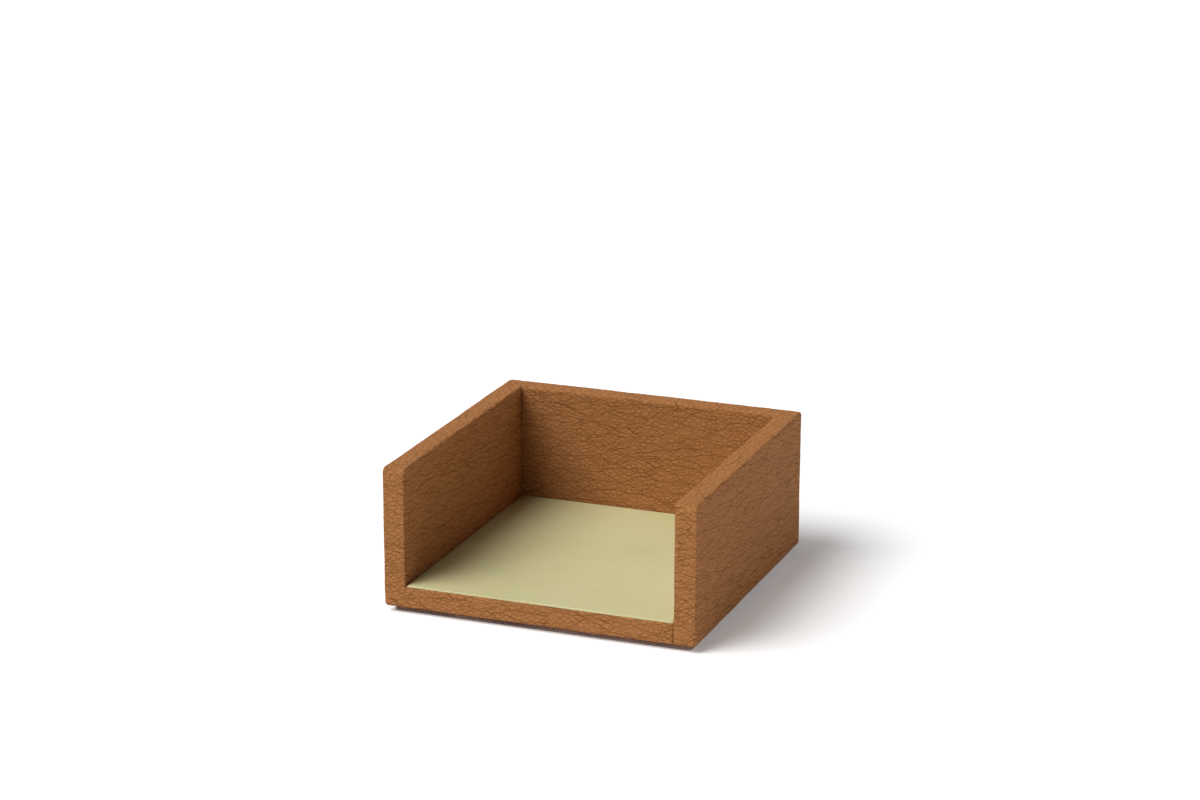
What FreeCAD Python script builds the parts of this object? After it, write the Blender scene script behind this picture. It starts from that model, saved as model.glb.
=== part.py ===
"""A leather-covered holder for square sticky notes: three walls, an open front and a soft foot.

Four boards are tongued, rebated and nailed into a three-walled tray. Leather is folded over each
wall and turned in under the base, a strip covers the front edge of the base, a lined card is the
floor and a felt pad is the foot. X runs to the right, Y to the back and Z up, from the middle of the
pad's underside. Lengths are in millimetres.
"""

import FreeCAD, Part
import os
import Sketcher

# Driving sizes: alias, value, what it measures
SIZES = [
    ("outer_width", 95.0, "leather to leather across the two side walls"),
    ("outer_depth", 95.0, "front edge to the back of the back wall"),
    ("body_height", 42.0, "turned-in leather under the base to the top of the walls"),
    ("leather", 0.6, "thickness of the covering leather"),
    ("wall_board", 5.65, "thickness of the three wall boards"),
    ("base_board", 6.0, "thickness of the board under the floor"),
    ("board_arris", 0.2, "rounding of the boards' long edges under the leather"),
    ("front_top_radius", 2.0, "rounding of a side wall's front top corner, over the leather"),
    ("back_corner_radius", 1.6, "rounding of the upright back corners, over the leather"),
    ("strip_edge_radius", 0.4, "rounding of the front strip's upper edge"),
    ("turn_in", 0.5, "how far the leather turned in under the base reaches past the walls"),
    ("felt_thickness", 1.6, "thickness of the pad under the base"),
    ("felt_inset", 2.2, "how far the pad stays inside the leather"),
    ("felt_corner_radius", 1.5, "rounding of the pad's corners"),
    ("floor_card", 0.25, "thickness of the card under the lining"),
    ("floor_lining", 0.25, "thickness of the floor's lining"),
    ("floor_gap", 0.2, "clearance between the lined floor and the wall leather"),
    ("floor_setback", 0.4, "how far the lined floor stays behind the front face"),
    ("infill_gap", 0.2, "clearance between the infill card and the turned-in leather"),
    ("tongue_depth", 1.5, "how far the base board's tongue reaches into the wall boards"),
    ("tongue_thickness", 2.0, "height of that tongue"),
    ("tongue_setback", 8.0, "how far the tongue stops short of the boards' front edge"),
    ("rebate_depth", 2.0, "how far the back board is let into each side board"),
    ("joint_gap", 0.1, "room for glue in the grooves and rebates"),
    ("brad_width", 1.0, "side of the square wire that the brads are cut from"),
    ("brad_length", 12.0, "length of the brads"),
    ("brad_margin", 14.0, "distance of the outermost base brads from the boards' ends"),
    ("corner_brad_margin", 9.0, "distance of the outermost corner brads from the board's ends"),
    ("overrun", 3.0, "how far a cut runs past the face it starts from"),
]

# How many brads hold each joint
BRADS_PER_BASE_EDGE = 3
BRADS_PER_CORNER = 3

# Two coordinates nearer than this are the same place
MATCH = 1e-4

# Places that the pieces share, as expressions on the sizes
HALF_WIDTH = "(Sizes.outer_width / 2)"
HALF_DEPTH = "(Sizes.outer_depth / 2)"
WALL = "(Sizes.wall_board + 2 * Sizes.leather)"
TURN_UNDER = f"({WALL} + Sizes.turn_in)"
EDGE_RADIUS = "(Sizes.leather + Sizes.board_arris)"
SKIN_Z = "Sizes.felt_thickness"
BOARD_Z = f"({SKIN_Z} + Sizes.leather)"
FLOOR_Z = f"({BOARD_Z} + Sizes.base_board)"
LINING_Z = f"({FLOOR_Z} + Sizes.floor_card)"
TOP_Z = f"({SKIN_Z} + Sizes.body_height)"
BOARD_OUTER_X = f"({HALF_WIDTH} - Sizes.leather)"
BOARD_INNER_X = f"({BOARD_OUTER_X} - Sizes.wall_board)"
BOARD_FRONT_Y = f"(Sizes.leather - {HALF_DEPTH})"
BOARD_BACK_Y = f"({HALF_DEPTH} - Sizes.leather)"
BACK_BOARD_Y = f"({BOARD_BACK_Y} - Sizes.wall_board)"
TONGUE_Z = f"({BOARD_Z} + (Sizes.base_board - Sizes.tongue_thickness) / 2)"
TONGUE_FRONT_Y = f"({BOARD_FRONT_Y} + Sizes.tongue_setback)"
GROOVE_DEPTH = "(Sizes.tongue_depth + Sizes.joint_gap)"
GROOVE_HEIGHT = "(Sizes.tongue_thickness + 2 * Sizes.joint_gap)"
FLOOR_HALF_WIDTH = f"({HALF_WIDTH} - {WALL} - Sizes.floor_gap)"
FLOOR_FRONT_Y = f"(Sizes.floor_setback - {HALF_DEPTH})"
FLOOR_BACK_Y = f"({HALF_DEPTH} - {WALL} - Sizes.floor_gap)"

doc = FreeCAD.newDocument("NoteHolder")


def make_sheet():
    """Puts the driving sizes into a sheet, one row each."""
    sheet = doc.addObject("Spreadsheet::Sheet", "Sizes")
    for row, (alias, size, meaning) in enumerate(SIZES, start=1):
        sheet.set(f"A{row}", alias)
        sheet.set(f"B{row}", str(size))
        sheet.setAlias(f"B{row}", alias)
        sheet.set(f"C{row}", meaning)
    doc.recompute()
    return sheet


sizes = make_sheet()


def number(expression):
    """What an expression on the sizes comes to, in millimetres."""
    return float(sizes.evalExpression(expression))


def box_corners(x_low, x_high, y_low, y_high):
    """The four corners of a rectangle."""
    return [(x_low, y_low), (x_high, y_low), (x_high, y_high), (x_low, y_high)]


def new_body(name):
    """An empty body."""
    return doc.addObject("PartDesign::Body", name)


def outline(body, role, height, corners):
    """A closed outline through corners on one of the body's own planes, moved out by height."""
    sketch = body.newObject("Sketcher::SketchObject", f"{body.Name}Outline")
    plane = next(f for f in body.Origin.OriginFeatures if f.Role == role)
    sketch.AttachmentSupport = [(plane, "")]
    sketch.MapMode = "FlatFace"
    sketch.setExpression("AttachmentOffset.Base.z", height)
    points = [FreeCAD.Vector(number(across), number(up), 0) for across, up in corners]
    for index, start in enumerate(points):
        sketch.addGeometry(Part.LineSegment(start, points[(index + 1) % len(points)]), False)
    for index, (across, up) in enumerate(corners):
        following = (index + 1) % len(corners)
        sketch.addConstraint(Sketcher.Constraint("Coincident", index, 2, following, 1))
        for kind, place in (("DistanceX", across), ("DistanceY", up)):
            distance = Sketcher.Constraint(kind, -1, 1, index, 1, number(place))
            sketch.setExpression(f"Constraints[{sketch.addConstraint(distance)}]", place)
    doc.recompute()
    return sketch


def pad(body, sketch, length, symmetric=False):
    """Thickens an outline, along its plane's normal or to both sides of it."""
    feature = body.newObject("PartDesign::Pad", f"{body.Name}Pad")
    feature.Profile = sketch
    feature.setExpression("Length", length)
    if symmetric:
        feature.SideType = "Symmetric"
    doc.recompute()
    return feature


def pocket(body, sketch, depth):
    """Cuts an outline into the body and makes sure that it took something away."""
    before = body.Shape.Volume
    feature = body.newObject("PartDesign::Pocket", f"{body.Name}Pocket")
    feature.Profile = sketch
    feature.setExpression("Length", depth)
    doc.recompute()
    if body.Shape.Volume > before - MATCH:
        raise RuntimeError(f"{feature.Name} cuts nothing from {body.Name}")
    return feature


def flat_at(low, high, *places):
    """Whether a stretch from low to high is a single place, one of places."""
    return high - low < MATCH and any(abs(low - place) < MATCH for place in places)


def fillet(body, radius, chosen):
    """Rounds the edges whose bounding box is chosen."""
    base = body.Tip
    names = [f"Edge{n}" for n, edge in enumerate(base.Shape.Edges, start=1) if chosen(edge.BoundBox)]
    feature = body.newObject("PartDesign::Fillet", f"{body.Name}Fillet")
    feature.Base = (base, names)
    feature.setExpression("Radius", radius)
    doc.recompute()
    return feature


def tray_block(name, inset):
    """The tray as one block with rounded edges, lying inset inside the leather's outer faces."""
    side, back = f"({HALF_WIDTH} - {inset})", f"({HALF_DEPTH} - {inset})"
    inner_side, inner_back = f"({HALF_WIDTH} - {WALL} + {inset})", f"({HALF_DEPTH} - {WALL} + {inset})"
    bottom, top = f"({SKIN_Z} + {inset})", f"({TOP_Z} - {inset})"
    body = new_body(name)
    base = box_corners(f"-{side}", side, f"-{back}", back)
    pad(body, outline(body, "XY_Plane", bottom, base), f"{FLOOR_Z} - {bottom}")
    walls = [
        (f"-{side}", f"-{back}"),
        (f"-{inner_side}", f"-{back}"),
        (f"-{inner_side}", inner_back),
        (inner_side, inner_back),
        (inner_side, f"-{back}"),
        (side, f"-{back}"),
        (side, back),
        (f"-{side}", back),
    ]
    pad(body, outline(body, "XY_Plane", bottom, walls), f"{top} - {bottom}")

    x, y, z_low, z_high = number(side), number(back), number(bottom), number(top)
    wall_faces = (x, -x, number(inner_side), -number(inner_side))

    def upright_back_corner(b):
        return flat_at(b.XMin, b.XMax, x, -x) and flat_at(b.YMin, b.YMax, y)

    def front_top_corner(b):
        return flat_at(b.YMin, b.YMax, -y) and flat_at(b.ZMin, b.ZMax, z_high)

    def folded_edge(b):
        beside_opening = flat_at(b.XMin, b.XMax, *wall_faces) and abs(b.YMin + y) < MATCH
        front = beside_opening and (flat_at(b.YMin, b.YMax, -y) or abs(b.ZMax - z_high) < MATCH)
        across_wall = flat_at(b.YMin, b.YMax, b.YMin) and b.YMax < 0
        rim = flat_at(b.ZMin, b.ZMax, z_high) and not across_wall
        return front or rim or flat_at(b.ZMin, b.ZMax, z_low)

    fillet(body, f"Sizes.back_corner_radius - {inset}", upright_back_corner)
    fillet(body, f"Sizes.front_top_radius - {inset}", front_top_corner)
    fillet(body, f"{EDGE_RADIUS} - {inset}", folded_edge)
    return body


def cut(name, base, tool):
    """What is left of base where tool isn't."""
    feature = doc.addObject("Part::Cut", name)
    feature.Base = base
    feature.Tool = tool
    feature.Refine = True
    doc.recompute()
    return feature


def common(name, base, tool):
    """What base and tool share."""
    feature = doc.addObject("Part::Common", name)
    feature.Base = base
    feature.Tool = tool
    feature.Refine = True
    doc.recompute()
    return feature


def mirrored(name, source):
    """The piece on the other side of the holder."""
    feature = doc.addObject("Part::Mirroring", name)
    feature.Source = source
    feature.Normal = FreeCAD.Vector(1, 0, 0)
    doc.recompute()
    return feature


def prism(name, corners, low, high):
    """An upright block over corners, from low to high."""
    body = new_body(name)
    pad(body, outline(body, "XY_Plane", low, corners), f"{high} - {low}")
    return body


def make_leather(core):
    """The skin round the boards, parted along its seams."""
    envelope = tray_block("LeatherOuterFaces", "0")
    low, high = f"({SKIN_Z} - Sizes.overrun)", f"({TOP_Z} + Sizes.overrun)"
    turned_x, turned_y = f"({HALF_WIDTH} - {TURN_UNDER})", f"({HALF_DEPTH} - {TURN_UNDER})"
    turned_in = box_corners(f"-{turned_x}", turned_x, f"-{turned_y}", turned_y)
    window = prism("TurnedInWindow", turned_in, low, BOARD_Z)
    skin = cut("LeatherSkin", cut("LeatherRoundBoards", envelope, core), window)

    seam_x = f"({HALF_WIDTH} - {WALL})"
    past_x, past_y = f"({HALF_WIDTH} + Sizes.overrun)", f"({HALF_DEPTH} + Sizes.overrun)"
    left = [
        (f"-{past_x}", f"-{past_y}"),
        (f"-{seam_x}", f"-{past_y}"),
        (f"-{seam_x}", BOARD_FRONT_Y),
        (f"-{turned_x}", f"-{turned_y}"),
        (f"-{turned_x}", turned_y),
        (f"-{past_x}", past_y),
    ]
    back = [
        (f"-{past_x}", past_y),
        (f"-{turned_x}", turned_y),
        (turned_x, turned_y),
        (past_x, past_y),
    ]
    front = [
        (f"-{seam_x}", f"-{past_y}"),
        (seam_x, f"-{past_y}"),
        (seam_x, BOARD_FRONT_Y),
        (turned_x, f"-{turned_y}"),
        (f"-{turned_x}", f"-{turned_y}"),
        (f"-{seam_x}", BOARD_FRONT_Y),
    ]
    left_skin = common("LeftSkin", skin, prism("LeftSeams", left, low, high))
    return {
        "left_wall_leather": left_skin,
        "right_wall_leather": mirrored("RightSkin", left_skin),
        "back_wall_leather": common("BackSkin", skin, prism("BackSeams", back, low, high)),
        "front_edge_leather": make_front_strip(skin, prism("FrontSeams", front, low, high)),
    }


def make_front_strip(skin, seams):
    """The strip on the front edge of the base, its upper edge pared round."""
    strip = common("StripSkin", skin, seams)
    front, top = -number(HALF_DEPTH), number(FLOOR_Z)
    radius = number("Sizes.strip_edge_radius")
    feature = doc.addObject("Part::Fillet", "FrontStrip")
    feature.Base = strip
    feature.Edges = [
        (n, radius, radius)
        for n, edge in enumerate(strip.Shape.Edges, start=1)
        if flat_at(edge.BoundBox.YMin, edge.BoundBox.YMax, front)
        and flat_at(edge.BoundBox.ZMin, edge.BoundBox.ZMax, top)
    ]
    doc.recompute()
    return feature


def make_brads():
    """Brads through the wall boards, into the base's edges and the back board's ends."""
    half_brad = "Sizes.brad_width / 2"
    base_z = f"({BOARD_Z} + Sizes.base_board / 2 - {half_brad})"
    corner_y = f"({BACK_BOARD_Y} + Sizes.wall_board / 2 - {half_brad})"
    corner_low = f"({FLOOR_Z} + Sizes.corner_brad_margin - {half_brad})"
    corner_high = f"({TOP_Z} - Sizes.leather - Sizes.corner_brad_margin - {half_brad})"
    side_low = f"({BOARD_FRONT_Y} + Sizes.brad_margin - {half_brad})"
    side_high = f"({BACK_BOARD_Y} - Sizes.brad_margin - {half_brad})"
    back_low = f"(Sizes.brad_margin - {BOARD_INNER_X} - {half_brad})"
    back_high = f"({BOARD_INNER_X} - Sizes.brad_margin - {half_brad})"

    def steps(low, high, count):
        return [f"({low} + ({high} - {low}) * {n} / {count - 1})" for n in range(count)]

    along_x = ("Sizes.brad_length", "Sizes.brad_width", "Sizes.brad_width")
    along_y = ("Sizes.brad_width", "Sizes.brad_length", "Sizes.brad_width")
    driven = []
    for start_x in (f"-{BOARD_OUTER_X}", f"{BOARD_OUTER_X} - Sizes.brad_length"):
        for y in steps(side_low, side_high, BRADS_PER_BASE_EDGE):
            driven.append((along_x, (start_x, y, base_z)))
        for z in steps(corner_low, corner_high, BRADS_PER_CORNER):
            driven.append((along_x, (start_x, corner_y, z)))
    for x in steps(back_low, back_high, BRADS_PER_BASE_EDGE):
        driven.append((along_y, (x, f"{BOARD_BACK_Y} - Sizes.brad_length", base_z)))

    brads = []
    for lengths, place in driven:
        brad = doc.addObject("Part::Box", "Brad")
        for side, length in zip(("Length", "Width", "Height"), lengths):
            brad.setExpression(side, length)
        for letter, where in zip("xyz", place):
            brad.setExpression(f"Placement.Base.{letter}", where)
        brads.append(brad)
    group = doc.addObject("Part::Compound", "Brads")
    group.Links = brads
    doc.recompute()
    return group


def make_boards(core, brads):
    """The four boards, cut from the tray's core with their joints and pierced by the brads."""
    rebate_x = f"({BOARD_INNER_X} + Sizes.rebate_depth)"
    groove_z = f"({TONGUE_Z} - Sizes.joint_gap)"
    groove_high_z = f"({groove_z} + {GROOVE_HEIGHT})"

    side_plan = [
        (f"-{HALF_WIDTH}", f"-{HALF_DEPTH}"),
        (f"-{BOARD_INNER_X}", f"-{HALF_DEPTH}"),
        (f"-{BOARD_INNER_X}", BACK_BOARD_Y),
        (f"-{rebate_x}", BACK_BOARD_Y),
        (f"-{rebate_x}", HALF_DEPTH),
        (f"-{HALF_WIDTH}", HALF_DEPTH),
    ]
    side = prism("SideBoardBlank", side_plan, BOARD_Z, TOP_Z)
    groove = box_corners(
        f"{TONGUE_FRONT_Y} - Sizes.joint_gap", BACK_BOARD_Y, groove_z, groove_high_z
    )
    pocket(side, outline(side, "YZ_Plane", f"-{BOARD_INNER_X}", groove), GROOVE_DEPTH)
    side_board = common("SideBoard", core, side)

    back_end = f"({rebate_x} - Sizes.joint_gap)"
    back_plan = box_corners(f"-{back_end}", back_end, BACK_BOARD_Y, HALF_DEPTH)
    back = prism("BackBoardBlank", back_plan, BOARD_Z, TOP_Z)
    back_groove = box_corners(f"-{back_end}", back_end, groove_z, groove_high_z)
    pocket(back, outline(back, "XZ_Plane", f"-{BACK_BOARD_Y}", back_groove), GROOVE_DEPTH)
    back_board = common("BackBoard", core, back)

    base_plan = box_corners(f"-{BOARD_INNER_X}", BOARD_INNER_X, f"-{HALF_DEPTH}", BACK_BOARD_Y)
    base = prism("BaseBoardBlank", base_plan, BOARD_Z, FLOOR_Z)
    tongue_x = f"({BOARD_INNER_X} + Sizes.tongue_depth)"
    tongue = box_corners(
        f"-{tongue_x}", tongue_x, TONGUE_FRONT_Y, f"{BACK_BOARD_Y} + Sizes.tongue_depth"
    )
    pad(base, outline(base, "XY_Plane", TONGUE_Z, tongue), "Sizes.tongue_thickness")
    base_board = common("BaseBoard", core, base)

    return {
        "base_board": cut("NailedBase", base_board, brads),
        "left_wall_board": cut("NailedLeftSide", side_board, brads),
        "right_wall_board": cut("NailedRightSide", mirrored("OtherSideBoard", side_board), brads),
        "back_wall_board": cut("NailedBack", back_board, brads),
        "carcass_brads": brads,
    }


def make_floor():
    """The floor card and the lining that lies on it and turns down over its front edge."""
    card_front_y = f"({FLOOR_FRONT_Y} + Sizes.floor_lining)"
    card_plan = box_corners(f"-{FLOOR_HALF_WIDTH}", FLOOR_HALF_WIDTH, card_front_y, FLOOR_BACK_Y)
    card = prism("FloorCard", card_plan, FLOOR_Z, LINING_Z)

    lining_top_z = f"({LINING_Z} + Sizes.floor_lining)"
    profile = [
        (FLOOR_FRONT_Y, FLOOR_Z),
        (card_front_y, FLOOR_Z),
        (card_front_y, LINING_Z),
        (FLOOR_BACK_Y, LINING_Z),
        (FLOOR_BACK_Y, lining_top_z),
        (FLOOR_FRONT_Y, lining_top_z),
    ]
    lining = new_body("FloorLining")
    pad(lining, outline(lining, "YZ_Plane", "0", profile), f"2 * {FLOOR_HALF_WIDTH}", symmetric=True)
    front, top = number(FLOOR_FRONT_Y), number(lining_top_z)

    def front_fold(b):
        return flat_at(b.YMin, b.YMax, front) and flat_at(b.ZMin, b.ZMax, top)

    fillet(lining, "Sizes.floor_lining", front_fold)
    return {"floor_card": card, "floor_lining": lining}


def make_foot():
    """The card that levels the underside, and the felt pad over it and the turned-in leather."""
    card_x = f"({HALF_WIDTH} - {TURN_UNDER} - Sizes.infill_gap)"
    card_y = f"({HALF_DEPTH} - {TURN_UNDER} - Sizes.infill_gap)"
    card_plan = box_corners(f"-{card_x}", card_x, f"-{card_y}", card_y)
    infill = prism("InfillCard", card_plan, SKIN_Z, BOARD_Z)

    felt_x, felt_y = f"({HALF_WIDTH} - Sizes.felt_inset)", f"({HALF_DEPTH} - Sizes.felt_inset)"
    felt = prism("FeltPad", box_corners(f"-{felt_x}", felt_x, f"-{felt_y}", felt_y), "0", SKIN_Z)
    x, y = number(felt_x), number(felt_y)

    def corner(b):
        return flat_at(b.XMin, b.XMax, x, -x) and flat_at(b.YMin, b.YMax, y, -y)

    fillet(felt, "Sizes.felt_corner_radius", corner)
    return {"base_infill_card": infill, "base_felt": felt}


def write_parts(pieces):
    """Labels the pieces, makes sure that all of them came out well and writes each to its file."""
    for name, piece in pieces.items():
        piece.Label = name
    doc.recompute()
    failed = [o.Name for o in doc.Objects if "Invalid" in o.State or "Error" in o.State]
    bad = [n for n, p in pieces.items() if p.Shape.isNull() or not p.Shape.isValid() or not p.Shape.Solids]
    if failed or bad:
        raise RuntimeError(f"failed: {failed}, bad shapes: {bad}")
    os.makedirs("parts", exist_ok=True)
    for name, piece in pieces.items():
        piece.Shape.exportStep(os.path.join("parts", f"{name}.step"))
        print(f"{name}: {len(piece.Shape.Solids)} solid(s), {piece.Shape.Volume:.1f} mm3")


tray_core = tray_block("BoardFaces", "Sizes.leather")
carcass_brads = make_brads()
write_parts(
    {
        **make_boards(tray_core, carcass_brads),
        **make_leather(tray_core),
        **make_floor(),
        **make_foot(),
    }
)
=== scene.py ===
"""Dresses the leather-covered note holder and puts it in a white studio.

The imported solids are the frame. The four leather skins, the floor's lining and the pad are made again
here as finer meshes in the same places: leather with its grain and seams, a smooth lining and a pad
with a corded edge. The boards, cards and brads inside keep their solids and get their finishes.
Lengths are in metres. X runs to the right, Y to the back and Z up.
"""

import logging
import math
from abc import ABC, abstractmethod
from dataclasses import dataclass
from enum import Enum
from typing import NamedTuple

import bmesh
import bpy
import numpy as np
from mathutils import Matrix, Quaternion, Vector


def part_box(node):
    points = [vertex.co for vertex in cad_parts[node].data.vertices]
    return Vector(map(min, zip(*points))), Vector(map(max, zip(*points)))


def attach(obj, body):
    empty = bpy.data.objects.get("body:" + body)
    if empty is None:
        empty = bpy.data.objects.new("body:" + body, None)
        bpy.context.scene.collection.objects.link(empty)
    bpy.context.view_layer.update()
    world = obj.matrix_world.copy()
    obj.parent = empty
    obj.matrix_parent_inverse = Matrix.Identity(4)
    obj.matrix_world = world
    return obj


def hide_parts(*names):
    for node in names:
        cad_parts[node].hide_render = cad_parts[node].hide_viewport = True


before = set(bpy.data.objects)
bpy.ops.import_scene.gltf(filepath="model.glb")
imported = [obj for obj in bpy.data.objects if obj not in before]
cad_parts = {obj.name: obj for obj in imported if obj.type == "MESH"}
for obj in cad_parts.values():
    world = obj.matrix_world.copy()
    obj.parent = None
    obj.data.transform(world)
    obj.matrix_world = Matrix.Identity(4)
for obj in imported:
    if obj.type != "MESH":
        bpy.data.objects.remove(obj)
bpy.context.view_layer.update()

log = logging.getLogger("note_holder")

MM = 0.001
BODY = "root"

Point = tuple[float, float, float]
Colour = tuple[float, float, float, float]
Piece = bpy.types.Object
Tree = bpy.types.NodeTree
Node = bpy.types.Node
Socket = bpy.types.NodeSocket

# Points that are closer than this are one point
TINY = 0.001 * MM

# Faces that meet at more than this have an edge between them
EDGE_ANGLE = math.radians(50)

# The direction into a skin on its grained side, and nothing on its back
INWARD = "inward"

# Sockets of the colour form of the Mix node
MIX_SHARE, MIX_FIRST, MIX_SECOND = 0, 6, 7

# The kinds of node that are used most
MATH = "ShaderNodeMath"
VECTOR_MATH = "ShaderNodeVectorMath"
VECTOR_ROTATE = "ShaderNodeVectorRotate"
MAP_RANGE = "ShaderNodeMapRange"
NOISE = "ShaderNodeTexNoise"

# How many finer noises lie on a noise, and how strong each of them is in a fine one
SMOOTH, SOFT, CLOUDY, FINE, FINEST = 0.0, 1.0, 2.0, 3.0, 4.0
FINE_SHARE = 0.6


class Side(Enum):
    """Which side wall, as the sign of its X."""

    LEFT = -1
    RIGHT = 1


def to_linear(code: str) -> Colour:
    """Turns an sRGB hex value into a linear colour.

    Args:
        code: the colour as #RRGGBB.

    Returns:
        Red, green, blue and a full alpha.
    """
    shares = [int(code[place : place + 2], 16) / 255 for place in (1, 3, 5)]
    linear = [s / 12.92 if s <= 0.04045 else ((s + 0.055) / 1.055) ** 2.4 for s in shares]
    return (linear[0], linear[1], linear[2], 1.0)


def add_node(tree: Tree, kind: str, inputs: dict | None = None, **settings: object) -> Node:
    """Adds a node with its settings and links.

    Args:
        tree: the tree that it goes into.
        kind: the node's type.
        inputs: for each input, by name or number, a value, or the socket or the node that feeds it. A
            node feeds it with its first output that is in use.
        settings: the node's own properties.

    Returns:
        The new node.
    """
    node = tree.nodes.new(kind)
    for name, value in settings.items():
        setattr(node, name, value)
    for key, value in (inputs or {}).items():
        if isinstance(value, Node):
            value = next(socket for socket in value.outputs if socket.enabled)
        if isinstance(value, Socket):
            tree.links.new(value, node.inputs[key])
        else:
            node.inputs[key].default_value = value
    return node


def new_piece(name: str, mesh: bpy.types.Mesh) -> Piece:
    """Puts a mesh into the scene as an object at the origin.

    Args:
        name: the object's name.
        mesh: its mesh, already in place.

    Returns:
        The new object.
    """
    piece = bpy.data.objects.new(name, mesh)
    bpy.context.scene.collection.objects.link(piece)
    return piece


def bake_tree(piece: Piece, tree: Tree, values: dict[str, object]) -> None:
    """Runs a geometry tree on a piece and keeps the result as its plain mesh.

    Args:
        piece: the object that the tree works on.
        tree: the geometry node tree.
        values: the tree's inputs, by name.
    """
    modifier = piece.modifiers.new(tree.name, "NODES")
    modifier.node_group = tree
    for item in tree.interface.items_tree:
        if item.in_out == "INPUT" and item.name in values:
            modifier[item.identifier] = values[item.name]
    evaluated = piece.evaluated_get(bpy.context.evaluated_depsgraph_get())
    baked = bpy.data.meshes.new_from_object(evaluated)
    piece.modifiers.remove(modifier)
    rough, piece.data = piece.data, baked
    bpy.data.meshes.remove(rough)


def new_tree(name: str, floats: list[str]) -> tuple[Tree, Node]:
    """An empty geometry tree with a mesh, a material and some numbers coming in.

    Args:
        name: the tree's name.
        floats: the names of its number inputs.

    Returns:
        The tree and its input node.
    """
    tree = bpy.data.node_groups.new(name, "GeometryNodeTree")
    ends = [("Mesh", "OUTPUT", "Geometry"), ("Mesh", "INPUT", "Geometry"), ("Material", "INPUT", "Material")]
    ends += [(label, "INPUT", "Float") for label in floats]
    for label, way, kind in ends:
        tree.interface.new_socket(label, in_out=way, socket_type="NodeSocket" + kind)
    return tree, add_node(tree, "NodeGroupInput")


def close_tree(tree: Tree, mesh: Node, material: Socket) -> None:
    """Ends a geometry tree in plain, dressed geometry.

    Args:
        tree: the geometry node tree.
        mesh: the node that has made it.
        material: the material to set.
    """
    plain = add_node(tree, "GeometryNodeRealizeInstances", {"Geometry": mesh})
    dressed = add_node(tree, "GeometryNodeSetMaterial", {"Geometry": plain, "Material": material})
    add_node(tree, "NodeGroupOutput", {"Mesh": dressed})


class Cells(NamedTuple):
    """Cells of a size: how many there are to a metre along each axis, and the point measured in cells."""

    rates: Node
    place: Node


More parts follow.
